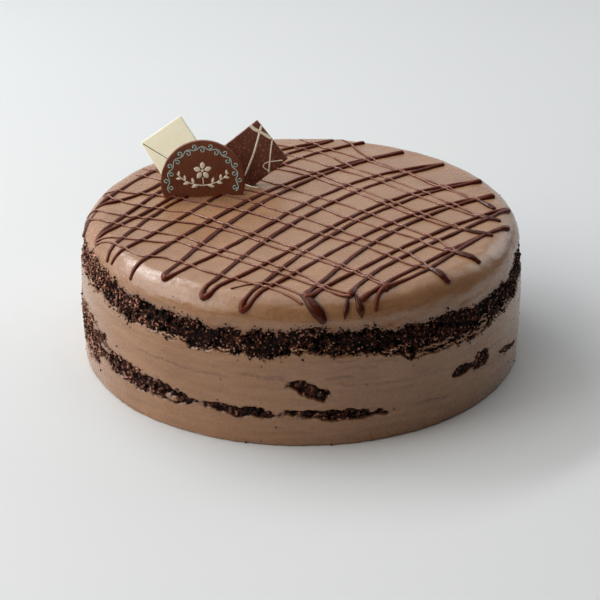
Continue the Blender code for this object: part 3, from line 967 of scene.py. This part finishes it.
def icing_smears(random, material):
    """Smears of icing dragged along the crumb by the scraper, in layers at the front right."""
    pile = Pile()
    share = np.linspace(0, 1, SMEAR_POINTS)
    rounding = np.sqrt(np.clip(4 * share * (1 - share), 0.02, 1))
    for number in range(SMEARS):
        start = random.uniform(-180, 180)
        if number < FRONT_SMEARS:
            start = random.uniform(*SMEARED)
        angle = start + np.linspace(0, random.uniform(1.2, 4.5), SMEAR_POINTS)
        height = seam(UPPER_BOTTOM, angle) + (random.exponential(1.6) - 0.2) * MM
        height += 0.35 * MM * np.sin(angle * random.uniform(1.5, 3.5) + number)
        radii = random.uniform(0.3, 0.75) * MM * rounding
        radii *= 1 + 0.35 * np.sin(angle * 6 + number)
        path = place(angle, height, UPPER_BASE + random.uniform(0.5, 1.0) * MM)
        rounded_tube(pile, path, outward(angle), radii, 0.8, 7)
    pile.finish("icing_smears", material, "icing")


# The drizzle


def flat_spot(turn):
    """A turn on the surface rolled out flat, in mm."""
    angle = math.radians(turn[0])
    return np.array([math.sin(angle), -math.cos(angle)]) * turn[1]


def bowed_stroke(start, end, step):
    """Points of one bowed stroke on the surface rolled out flat, in mm."""
    first, last = flat_spot(start), flat_spot(end)
    bow, late = start[2:] or (0, 0)
    along = last - first
    length = np.linalg.norm(along)
    aside = np.array([-along[1], along[0]]) / length
    if aside[1] < 0:
        aside = -aside
    share = np.linspace(0, 1, max(6, round(length / step)) + 1)
    out = (bow + late * (2 * share - 1)) * 4 * share * (1 - share)
    return first + along * share[:, None] + aside * out[:, None]


def curved_through(points, step):
    """A smooth line through given points, in even steps."""
    points = np.array(points, float)
    knots = np.concatenate([[2 * points[0] - points[1]], points, [2 * points[-1] - points[-2]]])
    line = []
    for before, start, end, after in zip(knots, knots[1:], knots[2:], knots[3:]):
        count = max(2, round(np.linalg.norm(end - start) / step))
        for share in np.arange(count) / count:
            line.append(0.5 * (2 * start + (end - before) * share
                               + (2 * before - 5 * start + 4 * end - after) * share ** 2
                               + (3 * start - before - 3 * end + after) * share ** 3))
    line.append(points[-1])
    return np.array(line)


def rounded_tube(pile, path, normals, radii, flatness, sides):
    """A closed tube along a path, flattened against the icing, with rounded ends.

    Its value is 1 along its top ridge and 0 from its sides down; the drizzle finishes paint a
    highlight along that ridge.
    """
    tangents = np.gradient(path, axis=0)
    tangents /= np.linalg.norm(tangents, axis=1, keepdims=True)
    caps = np.array([1.0, 0.9, 0.65, 0.35])
    start = path[0] - tangents[0] * radii[0] * caps[:, None]
    end = path[-1] + tangents[-1] * radii[-1] * caps[::-1, None]
    round_off = np.sqrt(1 - np.minimum(caps, 0.999) ** 2)
    path = np.concatenate([start, path, end])
    count = len(caps)
    radii = np.concatenate([radii[0] * round_off, radii, radii[-1] * round_off[::-1]])
    normals = np.concatenate([normals[:1].repeat(count, 0), normals, normals[-1:].repeat(count, 0)])
    tangents = np.concatenate([tangents[:1].repeat(count, 0), tangents,
                               tangents[-1:].repeat(count, 0)])
    aside = np.cross(tangents, normals)
    aside /= np.linalg.norm(aside, axis=1, keepdims=True)
    over = np.cross(aside, tangents)
    turn = np.arange(sides) * math.tau / sides
    ring = (np.cos(turn)[None, :, None] * aside[:, None]
            + flatness * np.sin(turn)[None, :, None] * over[:, None])
    points = path[:, None] + radii[:, None, None] * ring
    # 1 on the top ridge, for the painted highlight along a strand
    value = np.tile(np.clip(np.sin(turn), 0, 1), len(path))
    pile.add(points.reshape(-1, 3), tube_faces(len(path), sides), value)


def lay_strand(pile, flat, radii, lifts, flatness, sides):
    """A tube of chocolate along flat points in mm, laid on the icing."""
    angle = np.degrees(np.arctan2(flat[:, 0], -flat[:, 1]))
    reach = np.linalg.norm(flat, axis=1) * MM
    path, normals = on_surface(angle, reach, lifts)
    rounded_tube(pile, path, normals, radii, flatness, sides)


def with_depth(flat, seed):
    """Flat points as 3-D points for the noise, one plane for each strand."""
    return np.column_stack([flat, np.full(len(flat), seed * 7.3)])


def uneven(flat, amount, size, plane, seed):
    """Factors near 1 that make a strand's thickness waver."""
    return 1 + amount * noise(with_depth(flat, plane), size, seed)


def wandering(flat, amount, size, seed):
    """Shake a line a little, as a hand does."""
    spots = with_depth(flat, seed)
    sideways = np.column_stack([noise(spots, size, seed), noise(spots, size, seed + 50)])
    return flat + amount * sideways


def turn_swell(turn):
    """How much a strand swells at a turn, where it slows down over the rim."""
    if turn == HOOK:
        return HOOK_SWELL
    return next(swell for limit, swell in TURN_SWELLS if turn[0] < limit)


def side_of(first, second, corner):
    """1 or -1 by which side of the corner's way to the first point the second one lies on."""
    out, back = first - corner, second - corner
    return 1.0 if out[0] * back[1] - out[1] * back[0] > 0 else -1.0


def opened(flat, away, turn):
    """A stroke pushed aside near a turn, so that it and the next one make a round bend."""
    direction = np.gradient(flat, axis=0)
    aside = np.column_stack([-direction[:, 1], direction[:, 0]])
    aside /= np.linalg.norm(aside, axis=1, keepdims=True)
    far = away / BEND_PLACE
    push = BEND_WIDTH * far * np.exp(1 - far)
    return flat + aside * (push * turn)[:, None]


def heavy_drizzle(material):
    """The heavy strands. Returns their flat points, stroke by stroke."""
    pile = Pile()
    laid = []
    for turns in ZIGZAGS:
        lines = [bowed_stroke(start, end, STROKE_STEP) for start, end in zip(turns, turns[1:])]
        for number, flat in enumerate(lines):
            seed = len(laid) + 1
            start, end = turns[number], turns[number + 1]
            share = np.linspace(0, 1, len(flat))
            loose = smooth(np.minimum(share, 1 - share) * len(flat) / 6)
            flat = flat + (wandering(flat, 0.35, 9, seed) - flat) * loose[:, None]
            away = np.arange(len(flat)) * STROKE_STEP
            if number > 0 and BENDS[0] < start[0] < BENDS[1]:
                side = side_of(lines[number - 1][-4], lines[number][3], flat[0])
                flat = opened(flat, away, side)
            if number + 1 < len(lines) and BENDS[0] < end[0] < BENDS[1]:
                side = side_of(lines[number + 1][3], flat[-4], flat[-1])
                flat = opened(flat, away[::-1], -side)
            swell = 1 + (turn_swell(start) - 1) * smooth(1 - away / SWELL_LENGTH)
            swell = swell + (turn_swell(end) - 1) * smooth(1 - away[::-1] / SWELL_LENGTH)
            radii = STRAND * swell * uneven(flat, 0.13, 8, seed, seed + 200)
            lay_strand(pile, flat, radii, radii * 0.15, 0.85, 12)
            laid.append(flat)
    pile.finish("heavy_drizzle", material, "dark_chocolate", "icing_top")
    return laid


def drips(material):
    """The drips, and the beads where fine strands run together. Returns the drips' flat points."""
    pile = Pile()
    laid = []
    for number, (start, end, thickness) in enumerate(DRIPS):
        flat = bowed_stroke(start, end, 0.6)
        share = np.linspace(0, 1, len(flat))
        taper, flatness = (0.35, 0.6) if thickness > BLUNT else (0.62, 0.7)
        radii = STRAND * thickness * (0.55 + 0.45 * smooth(share * 1.7))
        radii *= 1 - taper * smooth((share - 0.66) / 0.34) ** 1.5
        radii *= uneven(flat, 0.07, 3, number, 300 + number)
        lay_strand(pile, flat, radii, radii * 0.1, flatness, 20)
        laid.append(flat)
    for number, (*points, radius) in enumerate(BEADS):
        flat = curved_through(points, 0.5)
        share = np.linspace(0, 1, len(flat))
        radii = radius * MM * (0.4 + 0.6 * smooth(share * 1.4))
        radii *= 1 - 0.2 * smooth((share - 0.8) / 0.2)
        radii *= uneven(flat, 0.1, 2.5, number, 600 + number)
        lay_strand(pile, flat, radii, radii * 0.25, 0.75, 16)
    pile.finish("drips", material, "dark_chocolate", "icing_top")
    return laid


def fine_drizzle(material, heavy):
    """Thin strands that pass over the heavy ones."""
    pile = Pile()
    for seed, points in enumerate(FINE_STRANDS):
        flat = wandering(curved_through(points, 1.1), 0.25, 7, seed + 400)
        gap = np.linalg.norm(flat[:, None] - heavy[None], axis=2).min(axis=1)
        radii = FINE_STRAND * uneven(flat, 0.22, 6, seed, seed + 500)
        lifts = radii * 0.35 + CLIMB * np.exp(-(gap / CLIMB_REACH) ** 2)
        lay_strand(pile, flat, radii, lifts, 0.7, 10)
    pile.finish("fine_drizzle", material, "dark_chocolate")


# The plaques


def standing(foot, pose):
    """Matrix of a plate that stands up facing the front, leans back and is rolled."""
    yaw, lean, roll = (math.radians(value) for value in pose)
    return (Matrix.Translation(foot) @ Matrix.Rotation(yaw, 4, "Z")
            @ Matrix.Rotation(math.pi / 2 - lean, 4, "X") @ Matrix.Rotation(roll, 4, "Z"))


def carried(matrix, points):
    turned = np.asarray(points) @ np.array(matrix.to_3x3()).T
    return turned + np.array(matrix.translation)


def square_outline():
    """A square with rounded corners, from its own corner at the origin."""
    centres = ((1, 1), (0, 1), (0, 0), (1, 0))
    outline = []
    for quarter, (right, up) in enumerate(centres):
        x = SQUARE_SIDE - CORNER if right else CORNER
        y = SQUARE_SIDE - CORNER if up else CORNER
        for step in range(6):
            turn = math.radians(90 * quarter + 90 * step / 5)
            outline.append((x + CORNER * math.cos(turn), y + CORNER * math.sin(turn)))
    return refined(outline, OUTLINE_STEP)


def round_outline():
    """A circle cut level at its foot, in the plaque's own plane."""
    half_gap = math.acos((ROUND_CENTRE + SINK) / ROUND_RADIUS)
    start = -math.pi / 2 + half_gap
    turns = np.linspace(start, start + math.tau - 2 * half_gap, 151)
    outline = [(ROUND_RADIUS * math.cos(turn), ROUND_CENTRE + ROUND_RADIUS * math.sin(turn))
               for turn in turns]
    return refined(outline, OUTLINE_STEP)


def refined(outline, step):
    """The outline with extra points, so that no stretch is longer than the step."""
    points = []
    for start, end in zip(outline, outline[1:] + outline[:1]):
        start, end = np.array(start), np.array(end)
        count = max(1, math.ceil(np.linalg.norm(end - start) / step))
        points += [start + (end - start) * index / count for index in range(count)]
    return np.array(points)


def plate(name, outline, stand, material, replaced, seed):
    """A slab of chocolate with softly rounded, slightly uneven edges."""
    along = np.roll(outline, -1, axis=0) - np.roll(outline, 1, axis=0)
    outside = np.stack([along[:, 1], -along[:, 0]], axis=1)
    outside /= np.linalg.norm(outside, axis=1, keepdims=True)
    count = len(outline)
    spots = np.column_stack([outline, np.full(count, seed * 0.01)])
    outline = outline + outside * (0.10 * MM * rough(spots, 3 * MM, 2, seed))[:, None]
    middle = (outline.min(axis=0) + outline.max(axis=0)) / 2
    rows = [(middle + (outline - middle) * share, FACE) for share in (0.6, 0.93)]
    for turn in np.linspace(0, math.pi / 2, 5):
        inset, drop = BEVEL * (1 - math.sin(turn)), BEVEL * (1 - math.cos(turn))
        rows.append((outline - outside * inset, FACE - drop))
    rows += [(flat, -height) for flat, height in reversed(rows)]
    points = [np.column_stack([flat, np.full(count, height)]) for flat, height in rows]
    faces = [face[::-1] for face in side_faces(len(rows), count)]
    top = len(rows) * count
    last = top - count
    for index in range(count):
        follow = (index + 1) % count
        faces.append([top, index, follow])
        faces.append([top + 1, last + follow, last + index])
    points = np.concatenate([*points, [(*middle, FACE), (*middle, -FACE)]])
    add_mesh(name, carried(standing(*stand), points), faces, material, replaced)


def ribbon(pile, stand, points, width):
    """A printed line on a plaque's face, through points in its own plane in mm."""
    flat = curved_through(points, 0.5) if len(points) > 2 else np.linspace(*points, 24)
    path = np.column_stack([flat * MM, np.full(len(flat), FACE)])
    matrix = standing(*stand)
    normal = np.array(matrix.to_3x3().col[2])
    radii = width / 2 * MM * uneven(flat, 0.12, 2, 3, 77) * np.linspace(1, 0.75, len(flat))
    rounded_tube(pile, carried(matrix, path), np.tile(normal, (len(path), 1)), radii,
                 min(1.0, 0.14 / width), 8)


def printed(pile, stand, rings):
    """A low closed shape on a plaque's face, made of rings of points in mm."""
    points = np.concatenate(rings) * MM + np.array([0, 0, FACE])
    pile.add(carried(standing(*stand), points), tube_faces(len(rings), len(rings[0])))


def dot(pile, stand, x, y, radius):
    """A printed dot: a low dome on a plaque's face, in mm."""
    turn = np.arange(12) * math.tau / 12
    rings = []
    for share, height in ((1.0, -0.05), (0.92, 0.09), (0.6, 0.15), (0.25, 0.17)):
        reach = radius * share
        rings.append(np.column_stack([x + reach * np.cos(turn), y + reach * np.sin(turn),
                                      np.full(len(turn), height)]))
    printed(pile, stand, rings)


def leaf(pile, stand, x, y, length, width, turn):
    """A printed leaf or petal: a low pointed shape on a plaque's face, in mm and degrees."""
    turn = math.radians(turn)
    share = np.linspace(0, 1, 15)
    half = width / 2 * np.sin(math.pi * share) ** 0.8
    edge = np.concatenate([np.column_stack([share * length, -half]),
                           np.column_stack([share * length, half])[-2:0:-1]])
    middle = np.array([length / 2, 0])
    rings = []
    for shrink, height in ((1.0, -0.05), (0.93, 0.08), (0.55, 0.13)):
        flat = middle + (edge - middle) * shrink
        across = flat[:, 0] * math.cos(turn) - flat[:, 1] * math.sin(turn) + x
        up = flat[:, 0] * math.sin(turn) + flat[:, 1] * math.cos(turn) + y
        rings.append(np.column_stack([across, up, np.full(len(flat), height)]))
    printed(pile, stand, rings)


def vine(pile, stand):
    """A plain border along the round plaque: a waving line with curls on both its sides."""
    def at(turn, rise):
        reach = BORDER_RADIUS + rise
        return (reach * math.cos(turn), ROUND_CENTRE / MM + reach * math.sin(turn))

    first, last = np.radians(BORDER_ENDS)
    step = (last - first) / CURLS
    turns = np.linspace(first, last, CURLS * 8 + 1)
    wave = 0.8 * np.sin((turns - first) * math.pi / step)
    ribbon(pile, stand, [at(turn, rise) for turn, rise in zip(turns, wave)], 0.5)
    for number in range(CURLS):
        side = 1 if number % 2 else -1
        middle = first + (number + 0.5) * step
        x, y = at(middle, side * CURL * 0.9)
        bends = middle + np.radians(np.linspace(0, 290, 15)) * side + (0 if side < 0 else math.pi)
        curl = [(x + size * math.cos(bend), y + size * math.sin(bend))
                for size, bend in zip(CURL * np.linspace(1.0, 0.45, 15), bends)]
        ribbon(pile, stand, curl, 0.48)
        dot(pile, stand, *curl[-1], 0.42)


def sprig(pile, stand):
    """Two leafy twigs that meet under a flower of five petals."""
    centre = ROUND_CENTRE / MM
    for side in (-1, 1):
        twig = [(side * x, centre + y) for x, y in TWIG]
        ribbon(pile, stand, twig, 0.7)
        line = curved_through(twig, 0.5)
        for number, share in enumerate(LEAVES):
            turn = 18 + 22 * share + (52 if number % 2 else -38)
            leaf(pile, stand, *line[int(share * (len(line) - 1))], 4.4 - 1.5 * share,
                 1.9 - 0.6 * share, turn if side > 0 else 180 - turn)
    middle = centre + FLOWER_HEIGHT
    for turn in range(90, 450, 72):
        leaf(pile, stand, 0.9 * math.cos(math.radians(turn)),
             middle + 0.9 * math.sin(math.radians(turn)), 4.3, 2.9, turn)
    dot(pile, stand, 0, middle, 0.8)
    ribbon(pile, stand, [(x, centre + y) for x, y in STEM], 0.7)


def plaques():
    milk = plaque_finish("milk_plaque_finish", srgb(110, 58, 34), srgb(88, 42, 24),
                         srgb(128, 72, 44), srgb(134, 80, 54), 0.8 * MM, 0.5)
    white = plaque_finish("white_plaque_finish", srgb(251, 244, 212), srgb(244, 234, 196),
                          srgb(252, 248, 224), srgb(246, 238, 204), 1.4 * MM, 0.4)
    dark = plaque_finish("dark_plaque_finish", srgb(102, 56, 40), srgb(60, 28, 20),
                         srgb(124, 72, 54), srgb(176, 116, 86), 0.7 * MM, 0.7)
    cream = print_finish("cream_print_finish", srgb(253, 247, 226), srgb(246, 236, 208))
    teal = print_finish("teal_print_finish", srgb(196, 238, 230), srgb(166, 214, 206))
    brown = print_finish("brown_print_finish", srgb(110, 66, 46), srgb(84, 46, 30))
    plate("round_plate", round_outline(), ROUND_STAND, milk, "plaque_round", 3)
    plate("white_plate", square_outline(), WHITE_STAND, white,
          "plaque_white", 4)
    plate("dark_plate", square_outline(), DARK_STAND, dark, "plaque_dark", 5)

    pin = Pile()
    ribbon(pin, WHITE_STAND, PIN[1], PIN[0])
    pin.finish("white_plate_stripe", brown, "dark_chocolate")

    stripes = Pile()
    for width, points in PAINTED:
        ribbon(stripes, DARK_STAND, points, width)
    stripes.finish("dark_plate_stripes", cream, "white_chocolate")

    thread = Pile()
    flat = curved_through(THREAD, 0.5)
    lay_strand(thread, flat, np.full(len(flat), THREAD_RADIUS), 0.3 * MM, 0.9, 8)
    thread.finish("white_thread", cream, "white_chocolate")

    border = Pile()
    vine(border, ROUND_STAND)
    border.finish("round_plate_border", teal, "white_chocolate")
    twigs = Pile()
    sprig(twigs, ROUND_STAND)
    twigs.finish("round_plate_sprig", cream, "white_chocolate")


# The stage


def stage():
    """A pale floor, a room that is dark in front and light behind, and soft lights."""
    half = FLOOR / 2
    mesh = bpy.data.meshes.new("floor")
    mesh.from_pydata([(-half, -half, 0), (half, -half, 0), (half, half, 0), (-half, half, 0)], [],
                     [(0, 1, 2, 3)])
    floor = bpy.data.objects.new("floor", mesh)
    mesh.materials.append(floor_finish())
    bpy.context.scene.collection.objects.link(floor)

    world = bpy.data.worlds.new("world")
    bpy.context.scene.world = world
    world.use_nodes = True
    tree = world.node_tree
    background = tree.nodes["Background"]
    background.inputs["Strength"].default_value = 1.0
    coords = add_node(tree, "ShaderNodeTexCoord").outputs["Generated"]
    way = add_node(tree, "ShaderNodeSeparateXYZ", Vector=coords).outputs
    depth = add_math(tree, "MULTIPLY_ADD", way["X"], -ROOM_LEFT, way["Y"])
    room = add_ramp(tree, depth, ((ROOM_FRONT, DARK_ROOM), (ROOM_BACK, LIGHT_ROOM)))
    tree.links.new(room, background.inputs["Color"])

    for name, location, width, light_depth, power, tone in LIGHTS:
        light = bpy.data.lights.new(name, "AREA")
        light.color = tone
        light.shape = "ELLIPSE"
        light.size = width
        light.size_y = light_depth
        light.energy = power
        lamp = bpy.data.objects.new(name, light)
        lamp.location = location
        aim = Vector(LIT_POINT) - Vector(location)
        lamp.rotation_euler = aim.to_track_quat("-Z", "Y").to_euler()
        bpy.context.scene.collection.objects.link(lamp)
    bpy.context.scene.view_settings.view_transform = "Standard"


def camera():
    """At the photograph's place: about a metre away and looking down on the cake."""
    lens = bpy.data.cameras.new("camera")
    lens.lens = FOCAL_LENGTH
    lens.sensor_width = 36
    made = bpy.data.objects.new("camera", lens)
    made.location = CAMERA_PLACE
    made.rotation_euler = (math.radians(CAMERA_TILT), 0, 0)
    bpy.context.scene.collection.objects.link(made)
    bpy.context.scene.camera = made


def build():
    camera()
    stage()
    icing = icing_finish()
    icing_cap(icing)
    icing_base(icing)
    upper = crumb_finish("upper_crumb_finish", srgb(16, 7, 5), srgb(50, 22, 14),
                         srgb(112, 60, 42), srgb(196, 146, 122))
    lower = crumb_finish("lower_crumb_finish", srgb(24, 11, 8), srgb(66, 33, 22),
                         srgb(122, 76, 58), srgb(198, 154, 132))
    crumb_rings(upper, lower)
    scraps = icing_finish()
    random = np.random.default_rng(7)
    loose_crumbs(random, upper, lower)
    icing_scraps(random, scraps)
    stray_crumbs(random, upper)
    icing_smears(random, scraps)
    # the last colour of each drizzle finish is its painted highlight along the strands' top ridges
    heavy = drizzle_finish("heavy_drizzle_finish", srgb(68, 22, 8), srgb(86, 32, 16),
                           srgb(92, 38, 22), 0.25, 0.28)
    # painted shade: the drips and beads get a darker copy of the drizzle chocolate
    shaded_drip_chocolate = drizzle_finish("drip_finish_painted_shade", srgb(44, 13, 5), srgb(58, 20, 10),
                             srgb(68, 26, 15), 0.32, 0.22)
    fine = drizzle_finish("fine_drizzle_finish", srgb(78, 30, 16), srgb(94, 42, 26),
                          srgb(136, 86, 66), 0.6, 0.25)
    laid = heavy_drizzle(heavy) + drips(shaded_drip_chocolate)
    fine_drizzle(fine, np.concatenate(laid))
    plaques()


build()
